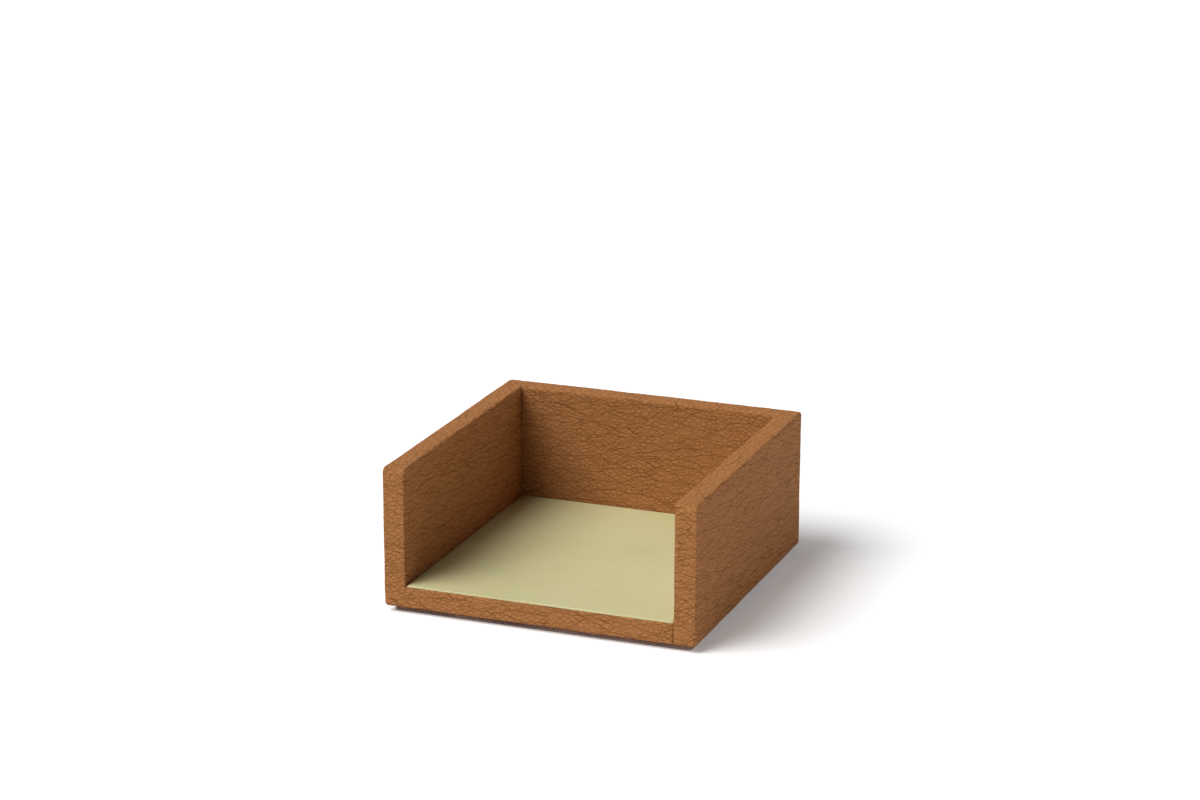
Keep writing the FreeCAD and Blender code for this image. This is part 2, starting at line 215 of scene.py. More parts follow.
@dataclass(frozen=True)
class PebbleGrain:
    """Tumbled grain: flat pebbles with thin, broken creases between them, and longer folds across them.

    The same pattern presses the mesh and darkens the material, partly as dye and partly as painted shade of
    the creases, so that the darkening and the relief agree. On an upright face the creases that run level or
    aslant are full and the upright ones faint, as on a hide that was drawn out sideways. On a face that lies
    level all of them are full.
    """

    pebble: float = 2.3 * MM
    crease: float = 0.30 * MM
    dome: float = 0.75 * MM
    drawn_out: Point = (1.35, 0.78, 2.1)
    evenness: float = 0.35
    wander: float = 1.2 * MM
    wander_reach: float = 2.6 * MM
    fold: float = 10.0 * MM
    fold_crease: float = 0.36 * MM
    fold_drawn_out: Point = (1.0, 0.7, 3.0)
    patch: float = 4.0 * MM
    patch_range: tuple[float, float] = (0.38, 0.62)
    faintest_share: float = 0.7
    level_range: tuple[float, float] = (0.15, 0.6)
    upright_share: float = 0.4
    # Stands the cells' lattice on its corner, so that its rows don't lie along the walls
    slant_axis: Point = (1.0, -1.0, 0.0)
    slant: float = math.acos(1 / math.sqrt(3))

    def sizes(self) -> dict[str, float]:
        """The sizes that a tree takes in.

        Returns:
            Each by its name.
        """
        return {
            "Pebbles per Metre": 1 / self.pebble,
            "Crease Width": self.crease,
            "Dome Share": self.dome / self.pebble,
            "Wander": self.wander,
            "Bends per Metre": 1 / self.wander_reach,
            "Folds per Metre": 1 / self.fold,
            "Fold Width": self.fold_crease,
            "Patches per Metre": 1 / self.patch,
        }

    def spread(self, tree: Tree, place: Node, rate: float | Socket, drawn_out: Point) -> Cells:
        """Lays out cells of a size.

        Args:
            tree: the tree that they go into.
            place: the point that they are worked out for.
            rate: how many there are to a metre.
            drawn_out: how much closer they lie along each axis.

        Returns:
            The cells.
        """
        rates = add_node(tree, VECTOR_MATH, {0: drawn_out, "Scale": rate}, operation="SCALE")
        counted = add_node(tree, VECTOR_MATH, {0: place, 1: rates}, operation="MULTIPLY")
        turned = {"Vector": counted, "Axis": self.slant_axis, "Angle": self.slant}
        return Cells(rates, add_node(tree, VECTOR_ROTATE, turned))

    def meeting(self, tree: Tree, cells: Cells, feature: str) -> Node:
        """Adds one measure of how a point lies among its nearest cells.

        Args:
            tree: the tree that it goes into.
            cells: the cells.
            feature: the measure's name.

        Returns:
            The measure.
        """
        inputs = {"Vector": cells.place, "Scale": 1.0, "Randomness": 1 - self.evenness}
        return add_node(tree, "ShaderNodeTexVoronoi", inputs, feature=feature)

    def creases(self, tree: Tree, cells: Cells, inward: Socket, width: float | Socket) -> Node:
        """Adds the creases where two cells meet, as wide along the surface whichever way they run.

        Args:
            tree: the tree that they go into.
            cells: the cells.
            inward: the direction into the skin.
            width: how wide a crease is.

        Returns:
            How much of a crease there is, from 0 to 1.
        """
        own, next_to = (self.meeting(tree, cells, feature) for feature in ("F1", "F2"))
        centres = {0: next_to.outputs["Position"], 1: own.outputs["Position"]}
        apart = add_node(tree, VECTOR_MATH, centres, operation="SUBTRACT")
        turned_back = {"Vector": apart, "Axis": self.slant_axis, "Angle": self.slant}
        upright = add_node(tree, VECTOR_ROTATE, turned_back, invert=True)
        across = add_node(tree, VECTOR_MATH, {0: upright, 1: cells.rates}, operation="MULTIPLY")
        through = add_node(tree, VECTOR_MATH, {0: across, 1: inward}, operation="PROJECT")
        along = add_node(tree, VECTOR_MATH, {0: across, 1: through}, operation="SUBTRACT")
        steepness = add_node(tree, VECTOR_MATH, {0: along}, operation="LENGTH")
        difference, total = (
            add_node(tree, MATH, {0: next_to, 1: own}, operation=operation)
            for operation in ("SUBTRACT", "ADD")
        )
        squares = add_node(tree, MATH, {0: difference, 1: total}, operation="MULTIPLY")
        away = add_node(tree, MATH, {0: squares, 1: steepness}, operation="DIVIDE")
        falling = {"Value": away, "From Max": width, "To Min": 1.0, "To Max": 0.0}
        fall = add_node(tree, MAP_RANGE, falling, interpolation_type="SMOOTHSTEP")
        facing = add_node(tree, VECTOR_MATH, {0: across}, operation="NORMALIZE")
        parts = (add_node(tree, "ShaderNodeSeparateXYZ", {"Vector": way}) for way in (facing, inward))
        level, lying = (add_node(tree, MATH, {0: part.outputs["Z"]}, operation="ABSOLUTE") for part in parts)
        flatness = add_node(tree, MATH, {0: level, 1: lying}, operation="MAXIMUM")
        least, most = self.level_range
        held = {"Value": flatness, "From Min": least, "From Max": most, "To Min": self.upright_share}
        share = add_node(tree, MAP_RANGE, held)
        return add_node(tree, MATH, {0: fall, 1: share}, operation="MULTIPLY")

    def wire(
        self, tree: Tree, place: Socket, inward: Socket, sizes: dict[str, float | Socket]
    ) -> tuple[Node, Node]:
        """Adds the pattern to a geometry or a material tree.

        Args:
            tree: the tree that it goes into.
            place: the point that it is worked out for.
            inward: the direction into the skin.
            sizes: the sizes, as numbers or as sockets.

        Returns:
            How far the pebble falls towards its edge, and how much of a crease there is, each from 0 to 1.
        """
        bends = add_node(tree, NOISE, {"Vector": place, "Scale": sizes["Bends per Metre"], "Detail": SOFT})
        centred = add_node(
            tree, VECTOR_MATH, {0: bends.outputs["Color"], 1: (0.5, 0.5, 0.5)}, operation="SUBTRACT"
        )
        bent = add_node(tree, VECTOR_MATH, {0: centred, "Scale": sizes["Wander"]}, operation="SCALE")
        moved = add_node(tree, VECTOR_MATH, {0: place, 1: bent}, operation="ADD")
        pebbles = self.spread(tree, moved, sizes["Pebbles per Metre"], self.drawn_out)
        folds = self.spread(tree, moved, sizes["Folds per Metre"], self.fold_drawn_out)
        edge = self.meeting(tree, pebbles, "DISTANCE_TO_EDGE")
        falling = {"Value": edge, "From Max": sizes["Dome Share"], "To Min": 1.0, "To Max": 0.0}
        dome = add_node(tree, MAP_RANGE, falling, interpolation_type="SMOOTHSTEP")
        thin = self.creases(tree, pebbles, inward, sizes["Crease Width"])
        long = self.creases(tree, folds, inward, sizes["Fold Width"])
        either = add_node(tree, MATH, {0: thin, 1: long}, operation="MAXIMUM")
        patches = add_node(
            tree, NOISE, {"Vector": place, "Scale": sizes["Patches per Metre"], "Detail": SOFT}
        )
        least, most = self.patch_range
        worn = {"Value": patches, "From Min": least, "From Max": most, "To Min": self.faintest_share}
        strength = add_node(tree, MAP_RANGE, worn)
        return dome, add_node(tree, MATH, {0: either, 1: strength}, operation="MULTIPLY")

    def tree(self) -> Tree:
        """The geometry tree that presses the grain into a skin.

        Returns:
            A tree that moves a mesh along its inward attribute, which is nothing on a skin's back.
        """
        own = ["Dome Height", "Crease Depth", "Waviness", "Waves per Metre"]
        tree, given = new_tree("pebble_grain", own + list(self.sizes()))
        size = given.outputs
        place = add_node(tree, "GeometryNodeInputPosition").outputs["Position"]
        inward = add_node(
            tree, "GeometryNodeInputNamedAttribute", {"Name": INWARD}, data_type="FLOAT_VECTOR"
        ).outputs["Attribute"]
        dome, crease = self.wire(tree, place, inward, {name: size[name] for name in self.sizes()})
        waves = add_node(tree, NOISE, {"Vector": place, "Scale": size["Waves per Metre"], "Detail": SMOOTH})
        sunk = add_node(tree, MATH, {0: waves, 1: size["Waviness"]}, operation="MULTIPLY")
        for share, depth in ((dome, "Dome Height"), (crease, "Crease Depth")):
            sunk = add_node(tree, MATH, {0: share, 1: size[depth], 2: sunk}, operation="MULTIPLY_ADD")
        offset = add_node(tree, VECTOR_MATH, {0: inward, "Scale": sunk}, operation="SCALE")
        pressed = add_node(tree, "GeometryNodeSetPosition", {"Geometry": size["Mesh"], "Offset": offset})
        close_tree(tree, pressed, size["Material"])
        return tree


@dataclass(frozen=True)
class Finish(ABC):
    """A finish: a material with a name, whose surface a subclass wires."""

    name: str

    def material(self) -> bpy.types.Material:
        """Builds the material.

        Returns:
            A material that reads Object coordinates.
        """
        material = bpy.data.materials.new(self.name)
        material.use_nodes = True
        tree = material.node_tree
        tree.nodes.clear()
        place = add_node(tree, "ShaderNodeTexCoord").outputs["Object"]
        add_node(tree, "ShaderNodeOutputMaterial", {"Surface": self.surface(tree, place)})
        return material

    @abstractmethod
    def surface(self, tree: Tree, place: Socket) -> Node:
        """Wires the surface.

        Args:
            tree: the material's tree.
            place: Object coordinates.

        Returns:
            The shader.
        """


@dataclass(frozen=True)
class TumbledLeather(Finish):
    """Calf leather, dyed through and tumbled: satin pebbles, and creases darkened partly by dye that gathers
    there and partly by painted shade.
    """

    name: str = "tumbled_calf_leather"
    grain: PebbleGrain = PebbleGrain()
    pebble_colour: str = "#AC7549"
    mottle_colour: str = "#A67044"
    # Colour in the creases: partly dye that gathers there, partly painted shade of the creases
    crease_dye_and_shade_colour: str = "#6A4520"
    mottle: float = 14.0 * MM
    wrinkle: float = 0.45 * MM
    wrinkle_height: float = 0.05 * MM
    crease_height: float = 0.06 * MM
    dome_height: float = 0.03 * MM
    ior: float = 1.5
    dry_gloss: float = 0.03
    pebble_roughness: float = 0.62
    crease_roughness: float = 0.80

    def surface(self, tree: Tree, place: Socket) -> Node:
        """Wires dye, painted crease shade, gloss and fine wrinkles to the grain.

        Args:
            tree: the material's tree.
            place: Object coordinates.

        Returns:
            The shader.
        """
        inward = add_node(tree, "ShaderNodeAttribute", attribute_name=INWARD).outputs["Vector"]
        dome, crease = self.grain.wire(tree, place, inward, self.grain.sizes())
        clouds = add_node(tree, NOISE, {"Vector": place, "Scale": 1 / self.mottle, "Detail": FINEST})
        dye: Colour | Node = to_linear(self.pebble_colour)
        # Mixes in the mottle, then the creases' colour, which is partly dye and partly painted shade
        for share, colour in ((clouds, self.mottle_colour), (crease, self.crease_dye_and_shade_colour)):
            colours = {MIX_SHARE: share, MIX_FIRST: dye, MIX_SECOND: to_linear(colour)}
            dye = add_node(tree, "ShaderNodeMix", colours, data_type="RGBA")
        satin = {"Value": crease, "To Min": self.pebble_roughness, "To Max": self.crease_roughness}
        gloss = add_node(tree, MAP_RANGE, satin)
        fine = {"Vector": place, "Scale": 1 / self.wrinkle, "Detail": FINE, "Roughness": FINE_SHARE}
        wrinkles = add_node(tree, NOISE, fine)
        wrinkled = add_node(tree, "ShaderNodeBump", {"Height": wrinkles, "Distance": self.wrinkle_height})
        fallen = {0: dome, 1: self.dome_height / self.crease_height, 2: crease}
        sunk = add_node(tree, MATH, fallen, operation="MULTIPLY_ADD")
        pressed = {"Height": sunk, "Distance": self.crease_height, "Normal": wrinkled}
        inputs = {
            "Base Color": dye,
            "Roughness": gloss,
            "IOR": self.ior,
            "Specular IOR Level": self.dry_gloss,
            "Normal": add_node(tree, "ShaderNodeBump", pressed, invert=True),
        }
        return add_node(tree, "ShaderNodeBsdfPrincipled", inputs)


@dataclass(frozen=True)
class SpeckledFinish(Finish):
    """A finish of two colours in fine grains or fibres, with a relief of the same grains."""

    light_colour: str
    dark_colour: str
    grain: float
    contrast: float = 0.25
    cloud: float = 20.0 * MM
    height: float = 0.03 * MM
    roughness: float = 0.8
    ior: float = 1.5
    metallic: float = 0.0

    def surface(self, tree: Tree, place: Socket) -> Node:
        """Wires the two colours and the relief to one noise.

        Args:
            tree: the material's tree.
            place: Object coordinates.

        Returns:
            The shader.
        """
        fine = {"Vector": place, "Scale": 1 / self.grain, "Detail": FINEST, "Roughness": FINE_SHARE}
        fibres = add_node(tree, NOISE, fine)
        clouds = add_node(tree, NOISE, {"Vector": place, "Scale": 1 / self.cloud, "Detail": CLOUDY})
        both = add_node(tree, MATH, {0: fibres, 1: clouds}, operation="ADD")
        span = {"Value": both, "From Min": 1.0 - self.contrast, "From Max": 1.0 + self.contrast}
        colours = {
            MIX_SHARE: add_node(tree, MAP_RANGE, span),
            MIX_FIRST: to_linear(self.dark_colour),
            MIX_SECOND: to_linear(self.light_colour),
        }
        inputs = {
            "Base Color": add_node(tree, "ShaderNodeMix", colours, data_type="RGBA"),
            "Roughness": self.roughness,
            "Metallic": self.metallic,
            "Normal": add_node(tree, "ShaderNodeBump", {"Height": fibres, "Distance": self.height}),
        }
        if not self.metallic:
            inputs["IOR"] = self.ior
        return add_node(tree, "ShaderNodeBsdfPrincipled", inputs)


# Smooth sheepskin, pasted flat: even and matt, with a faint fibre
LINING = SpeckledFinish(
    "olive_skiver", "#CBC595", "#C3BD8B", grain=0.5 * MM, roughness=0.62, height=0.012 * MM
)
# Wool cord and felt: no gloss, flecked with lighter hairs
PAD_WOOL = SpeckledFinish(
    "plum_wool_felt", "#C6A79E", "#87706A", grain=0.30 * MM, height=0.12 * MM, roughness=0.95
)
# Medium-density fibreboard: sawn faces, even tan with fine dark fibres
FIBREBOARD = SpeckledFinish("fibreboard", "#B9966A", "#8F6E46", grain=0.35 * MM, height=0.05 * MM)
# Grey bookbinding card: pressed pulp, with short fibres lying every way
GREY_CARD = SpeckledFinish(
    "grey_bookbinding_card", "#A5A29C", "#85827D", grain=0.4 * MM, height=0.04 * MM
)
# Drawn steel wire: bright, with the fine marks of drawing
BRAD_STEEL = SpeckledFinish(
    "drawn_steel_wire",
    "#B9BCC0",
    "#8E9296",
    grain=0.15 * MM,
    height=0.01 * MM,
    roughness=0.35,
    metallic=1.0,
)


@dataclass(frozen=True)
class TrayLines:
    """The main planes of the covered tray, each as its distance from the middle or the ground."""

    outer_x: float
    inner_x: float
    turned_x: float
    front_y: float
    inner_y: float
    turned_y: float
    back_y: float
    under_z: float
    floor_z: float
    top_z: float
    leather: float

    @classmethod
    def from_frame(cls) -> "TrayLines":
        """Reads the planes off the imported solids.

        Returns:
            The planes.
        """
        skin_low, skin_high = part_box("left_wall_leather")
        board_low, board_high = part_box("left_wall_board")
        back_low, back_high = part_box("back_wall_leather")
        leather = board_low.x - skin_low.x
        return cls(
            outer_x=-skin_low.x,
            inner_x=-(board_high.x + leather),
            turned_x=-skin_high.x,
            front_y=skin_low.y,
            inner_y=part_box("back_wall_board")[0].y - leather,
            turned_y=back_low.y,
            back_y=back_high.y,
            under_z=skin_low.z,
            floor_z=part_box("base_board")[1].z,
            top_z=skin_high.z,
            leather=leather,
        )


@dataclass(frozen=True)
class RoundedEdge:
    """An edge of the block that is rounded more than the folds are.

    The centre and the direction outwards are on the two axes that the arc turns through.
    """

    axes: tuple[int, int]
    centre: tuple[float, float]
    outward: tuple[int, int]
    radius: float


def rail(knots: list[Point], count: int) -> np.ndarray:
    """Points along a line through knots.

    Args:
        knots: the line's corners, going up along its main direction.
        count: how many steps it takes, equal along that direction.

    Returns:
        One row for each point.
    """
    corners = np.array(knots)
    main = int(np.argmax(np.abs(corners[-1] - corners[0])))
    places = np.linspace(corners[0, main], corners[-1, main], count + 1)
    return np.stack([np.interp(places, corners[:, main], corners[:, axis]) for axis in range(3)], axis=1)


def between(first: np.ndarray, second: np.ndarray, count: int) -> np.ndarray:
    """A grid of points on straight lines from one rail to another.

    Args:
        first: the rail that it starts from.
        second: the rail that it ends on.
        count: how many steps it takes.

    Returns:
        The grid, with one row for each step.
    """
    shares = np.linspace(0, 1, count + 1)[:, None, None]
    return first * (1 - shares) + second * shares


def joined(grids: list[np.ndarray]) -> tuple[np.ndarray, np.ndarray]:
    """Makes one sheet of grids that share their edges.

    Args:
        grids: the grids of points.

    Returns:
        The sheet's points and its four-sided faces.
    """
    faces, count = [], 0
    for grid in grids:
        rows, columns = grid.shape[:2]
        index = np.arange(rows * columns).reshape(rows, columns) + count
        around = [index[:-1, :-1], index[:-1, 1:], index[1:, 1:], index[1:, :-1]]
        faces.append(np.stack(around, axis=-1).reshape(-1, 4))
        count += rows * columns
    points = np.concatenate([grid.reshape(-1, 3) for grid in grids])
    _, first, merged = np.unique(keys(points), axis=0, return_index=True, return_inverse=True)
    return points[first], merged.reshape(-1)[np.concatenate(faces)]


def keys(points: np.ndarray) -> np.ndarray:
    """Whole numbers that are alike for points in the same place."""
    return np.round(points / TINY).astype(np.int64)


def border(faces: np.ndarray) -> list[int]:
    """The points round the edge of a sheet, in order.

    Args:
        faces: the sheet's faces.

    Returns:
        The points' numbers.
    """
    edges = np.sort(np.concatenate([faces[:, [k, (k + 1) % 4]] for k in range(4)]), axis=1)
    pairs, uses = np.unique(edges, axis=0, return_counts=True)
    beside: dict[int, list[int]] = {}
    for a, b in pairs[uses == 1].tolist():
        beside.setdefault(a, []).append(b)
        beside.setdefault(b, []).append(a)
    start = min(beside)
    loop, last, here = [start], None, start
    while True:
        following = next(n for n in beside[here] if n != last)
        if following == start:
            return loop
        loop.append(following)
        last, here = here, following


def rolled(distance: np.ndarray, radius: float) -> np.ndarray:
    """How far a pared edge falls away.

    Args:
        distance: how far each point is from the edge.
        radius: the radius that the edge is pared to.

    Returns:
        The fall at each point, nothing beyond the radius.
    """
    short = np.clip(radius - distance, 0, radius)
    return radius - np.sqrt(radius**2 - short**2)


def eased(share: np.ndarray) -> np.ndarray:
    """A share held between 0 and 1, with a soft start and end."""
    held = np.clip(share, 0, 1)
    return held**2 * (3 - 2 * held)


@dataclass(kw_only=True)
class FoldedSkin(ABC):
    """A sheet folded round a block, closed at its edges: fine steps on its face, coarse on its back."""

    name: str
    node: str
    slot: str
    rests_on: list[str]
    lines: TrayLines
    thickness: float
    fold_radius: float
    step: float
    coarse: int = 4

    @abstractmethod
    def grids(self, every: int) -> list[np.ndarray]:
        """The sheet on the block before its edges are rounded.

        Args:
            every: how many fine steps make one.

        Returns:
            Grids that share their edges.
        """

    @abstractmethod
    def limits(self, sharp: np.ndarray) -> tuple[np.ndarray, np.ndarray, np.ndarray]:
        """The block that the points lie on.

        Args:
            sharp: points on the block with sharp edges.

        Returns:
            Its lowest and highest corner and the radius of its folds, for each point.
        """

    @abstractmethod
    def settle(self, face: np.ndarray) -> np.ndarray:
        """How far the face sinks at its edges and seams.

        Args:
            face: points on the face, with its folds.

        Returns:
            A depth for each point.
        """

    @abstractmethod
    def flat(self) -> tuple[float, float]:
        """The size that the sheet was cut to."""

    def rounded_edges(self) -> list[RoundedEdge]:
        """The edges that have a radius of their own."""
        return []

    def square_up(self, back: np.ndarray, sharp: np.ndarray) -> np.ndarray:
        """Brings the back's ends to the mitre, where the sheet has one."""
        return back

    def steps(self, length: float, every: int) -> int:
        """How many steps a length takes, each of so many fine ones."""
        return math.ceil(length / (self.step * self.coarse)) * self.coarse // every

    def fold(self, sharp: np.ndarray, depth: float = 0.0) -> tuple[np.ndarray, np.ndarray]:
        """Rounds the block's edges.

        Args:
            sharp: points on the block with sharp edges.
            depth: how far below the face the points go.

        Returns:
            The points on the folded sheet or below it, and the direction outwards there.
        """
        low, high, radius = self.limits(sharp)
        radius = np.maximum(radius, depth)
        core = np.clip(sharp, low + radius, high - radius)
        for edge in self.rounded_edges():
            axes = list(edge.axes)
            reach = sharp[:, axes] - np.array(edge.centre)
            past = (reach * np.array(edge.outward) > 0).all(axis=1)
            length = np.linalg.norm(reach[past], axis=1, keepdims=True)
            onto = np.array(edge.centre) + reach[past] / length * (edge.radius - radius[past])
            core[np.ix_(past, axes)] = onto
        outward = sharp - core
        outward /= np.linalg.norm(outward, axis=1, keepdims=True)
        return core + (radius - depth) * outward, outward

    def mesh(self) -> bpy.types.Mesh:
        """Builds the closed sheet.

        Returns:
            A smooth mesh with an attribute that points into the skin, and is nothing on its back.
        """
        sharp, faces = joined(self.grids(1))
        back_sharp, back_faces = joined(self.grids(self.coarse))
        face, outward = self.fold(sharp)
        face -= outward * self.settle(face)[:, None]
        back, _ = self.fold(back_sharp, self.thickness)
        back = self.square_up(back, back_sharp)

        behind = {tuple(key): n + len(face) for n, key in enumerate(keys(back_sharp).tolist())}
        loop = border(faces)
        sharp_keys = keys(sharp).tolist()
        matched = [behind.get(tuple(sharp_keys[n])) for n in loop]
        start = next(n for n, match in enumerate(matched) if match is not None)
        loop = loop[start:] + loop[: start + 1]
        matched = matched[start:] + matched[: start + 1]
        rim, last = [], matched[0]
        for a, b, match in zip(loop, loop[1:], matched[1:]):
            rim.append((a, b, last))
            if match is not None:
                rim.append((b, match, last))
                last = match

        mesh = bpy.data.meshes.new(self.name)
        points = np.concatenate([face, back])
        mesh.from_pydata(points.tolist(), [], faces.tolist() + (back_faces + len(face)).tolist() + rim)
        shell = bmesh.new()
        shell.from_mesh(mesh)
        bmesh.ops.recalc_face_normals(shell, faces=shell.faces)
        shell.to_mesh(mesh)
        shell.free()
        mesh.shade_smooth()
        mesh.set_sharp_from_angle(angle=EDGE_ANGLE)
        inward = mesh.attributes.new(INWARD, "FLOAT_VECTOR", "POINT")
        inward.data.foreach_set("vector", np.concatenate([-outward, np.zeros_like(back)]).ravel())
        return mesh

    def build(self) -> Piece:
        """Puts the plain sheet into the scene."""
        return new_piece(self.name, self.mesh())

    def declare(self, piece: Piece) -> None:
        """Says what the piece rides on and stands for.

        Args:
            piece: the finished piece.
        """
        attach(piece, BODY)
        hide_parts(self.node)
        self.flat()
        log.info("%s: %d faces", piece.name, len(piece.data.polygons))


@dataclass(kw_only=True)
class LeatherSkin(FoldedSkin):
    """A skin of grained leather."""

    slot: str = "cover_leather"
    fold_radius: float = 0.9 * MM
    step: float = 0.33 * MM
    bottom_radius: float = 1.1 * MM
    back_corner_radius: float = 1.6 * MM
    mitre_roll: float = 0.02 * MM
    dome_height: float = 0.02 * MM
    crease_depth: float = 0.06 * MM
    # The mesh's steps are too wide for the material's thin crease lines, of dye and painted shade, so these
    # are pressed in wider
    valley: float = 1.0 * MM
    waviness: float = 0.22 * MM
    wave: float = 13.0 * MM

    def lower_folds(self, sharp: np.ndarray, radius: np.ndarray | float) -> np.ndarray:
        """Rounds the folds more towards the bottom.

        Args:
            sharp: points on the block with sharp edges.
            radius: the folds' radius further up.

        Returns:
            The radius at each point.
        """
        at = self.lines
        share = eased((at.floor_z - sharp[:, 2]) / (at.floor_z - at.under_z))
        return radius + (self.bottom_radius - radius) * share

    def dress(self, piece: Piece, tree: Tree, leather: TumbledLeather) -> None:
        """Presses the grain into the skin and dyes it.

        Args:
            piece: the plain skin.
            tree: the grain's geometry tree.
            leather: the finish.
        """
        values = {
            "Material": bpy.data.materials[leather.name],
            "Dome Height": self.dome_height,
            "Crease Depth": self.crease_depth,
            "Waviness": self.waviness,
            "Waves per Metre": 1 / self.wave,
            **leather.grain.sizes(),
            "Crease Width": self.valley,
            "Fold Width": self.valley,
        }
        bake_tree(piece, tree, values)


@dataclass(kw_only=True)
class SideWallLeather(LeatherSkin):
    """The skin of a side wall, folded over its top and its front end and turned in under the base.

    It is laid out for the left wall, and turned over for the right one.
    """

    side: Side
    seam_roll: float
    front_top_radius: float = 2.0 * MM
    upright_radius: float = 0.5 * MM
    slackening: float = 12.0 * MM
    flare: float = 3.0 * MM
    sharpest: float = 0.05 * MM
    pucker_depth: float = 0.0
    pucker_place: tuple[float, float] = (-41.9 * MM, 42.0 * MM)
    pucker_size: tuple[float, float] = (1.1 * MM, 0.45 * MM)

    def grids(self, every: int) -> list[np.ndarray]:
        """Under the base, up the outside, over the top, down the inside, and the front end.

        Args:
            every: how many fine steps make one.

        Returns:
            Grids that share their edges.
        """
        at = self.lines
        along = self.steps(at.back_y - at.front_y, every)
        wall = self.steps(at.outer_x - at.inner_x, every)
        low = self.steps(at.floor_z - at.under_z, every)
        high = self.steps(at.top_z - at.floor_z, every)
        turned = rail(
            [
                (-at.inner_x, at.front_y, at.under_z),
                (-at.turned_x, -at.turned_y, at.under_z),
                (-at.turned_x, at.turned_y, at.under_z),
            ],
            along,
        )

        def outer(z: float) -> np.ndarray:
            """A line along the outer face."""
            return rail([(-at.outer_x, at.front_y, z), (-at.outer_x, at.back_y, z)], along)

        def inner(z: float) -> np.ndarray:
            """A line along the inner face."""
            return rail([(-at.inner_x, at.front_y, z), (-at.inner_x, at.inner_y, z)], along)

        def end(x: float, z_low: float, z_high: float, count: int) -> np.ndarray:
            """An upright line on the front end."""
            return rail([(x, at.front_y, z_low), (x, at.front_y, z_high)], count)

        ends = [
            between(end(-at.outer_x, a, b, count), end(-at.inner_x, a, b, count), wall)
            for a, b, count in ((at.under_z, at.floor_z, low), (at.floor_z, at.top_z, high))
        ]
        return [
            between(turned, outer(at.under_z), wall),
            between(outer(at.under_z), outer(at.floor_z), low),
            between(outer(at.floor_z), outer(at.top_z), high),
            between(outer(at.top_z), inner(at.top_z), wall),
            between(inner(at.top_z), inner(at.floor_z), high),
            *ends,
        ]

    def limits(self, sharp: np.ndarray) -> tuple[np.ndarray, np.ndarray, np.ndarray]:
        """The wall. Its front fold flattens into the butted seam below the floor.

        Args:
            sharp: points on the block with sharp edges.

        Returns:
            Its lowest and highest corner and the radius of its folds, for each point.
        """
        at = self.lines
        above = sharp[:, 2] > at.floor_z - self.sharpest
        high = np.full_like(sharp, np.inf)
        high[above, 0] = -at.inner_x
        high[:, 2] = at.top_z
        inner_half = sharp[:, 0] > -(at.inner_x + at.outer_x) / 2
        slack = eased((sharp[:, 1] - at.front_y) / self.slackening)
        radius = self.upright_radius + (self.fold_radius - self.upright_radius) * slack
        flared = np.maximum(radius * eased((sharp[:, 2] - at.floor_z) / self.flare), self.sharpest)
        radius = np.where(above & inner_half, flared, self.lower_folds(sharp, radius))
        return np.array([-at.outer_x, at.front_y, at.under_z]), high, radius[:, None]

    def rounded_edges(self) -> list[RoundedEdge]:
        """The front top corner and the upright back corner.

        Returns:
            Each with its radius.
        """
        at, front, back = self.lines, self.front_top_radius, self.back_corner_radius
        return [
            RoundedEdge((1, 2), (at.front_y + front, at.top_z - front), (-1, 1), front),
            RoundedEdge((0, 1), (back - at.outer_x, at.back_y - back), (-1, 1), back),
        ]

    def settle(self, face: np.ndarray) -> np.ndarray:
        """Seams at the front strip and the mitre, and the pucker where the front fold is gathered.

        Args:
            face: points on the face, with its folds.

        Returns:
            A depth for each point.
        """
        at = self.lines
        x, y, z = face.T
        front = (y < at.front_y + self.fold_radius) & (z < at.floor_z)
        seam = np.where(front, rolled(-at.inner_x - x, self.seam_roll), 0.0)
        outside = x < -at.inner_x - self.fold_radius
        mitre = np.where(outside, rolled((-x - y) / math.sqrt(2), self.mitre_roll), 0.0)
        along = (x - self.pucker_place[0]) / self.pucker_size[0]
        across = (z - self.pucker_place[1]) / self.pucker_size[1]
        gathered = np.exp(-(along**2) - across**2) * (y < at.front_y + self.front_top_radius)
        return seam + mitre + self.pucker_depth * gathered

    def square_up(self, back: np.ndarray, sharp: np.ndarray) -> np.ndarray:
        """Brings the back's far end onto the mitre.

        Args:
            back: points on the back.
            sharp: the same points on the block with sharp edges.

        Returns:
            The back's points.
        """
        at = self.lines
        turned_in = sharp[:, 0] > -at.outer_x + MM
        ends = sharp[:, 1] > np.where(turned_in, at.turned_y, at.back_y) - TINY
        ends &= np.abs(sharp[:, 0] + sharp[:, 1]) < TINY
        back[ends, 1] = -back[ends, 0]
        return back

    def mesh(self) -> bpy.types.Mesh:
        """Builds the left skin, or turns it over for the right wall.

        Returns:
            The skin's mesh.
        """
        mesh = super().mesh()
        if self.side is Side.RIGHT:
            for vertex, inward in zip(mesh.vertices, mesh.attributes[INWARD].data):
                vertex.co.x = -vertex.co.x
                inward.vector.x = -inward.vector.x
            mesh.flip_normals()
        return mesh

    def flat(self) -> tuple[float, float]:
        """Across the turned-in edge, both faces and the top, by the wall's length.

        Returns:
            The sheet's two lengths.
        """
        at = self.lines
        across = (at.outer_x - at.turned_x) + (at.top_z - at.under_z) + (at.outer_x - at.inner_x)
        return across + (at.top_z - at.floor_z), at.back_y - at.front_y


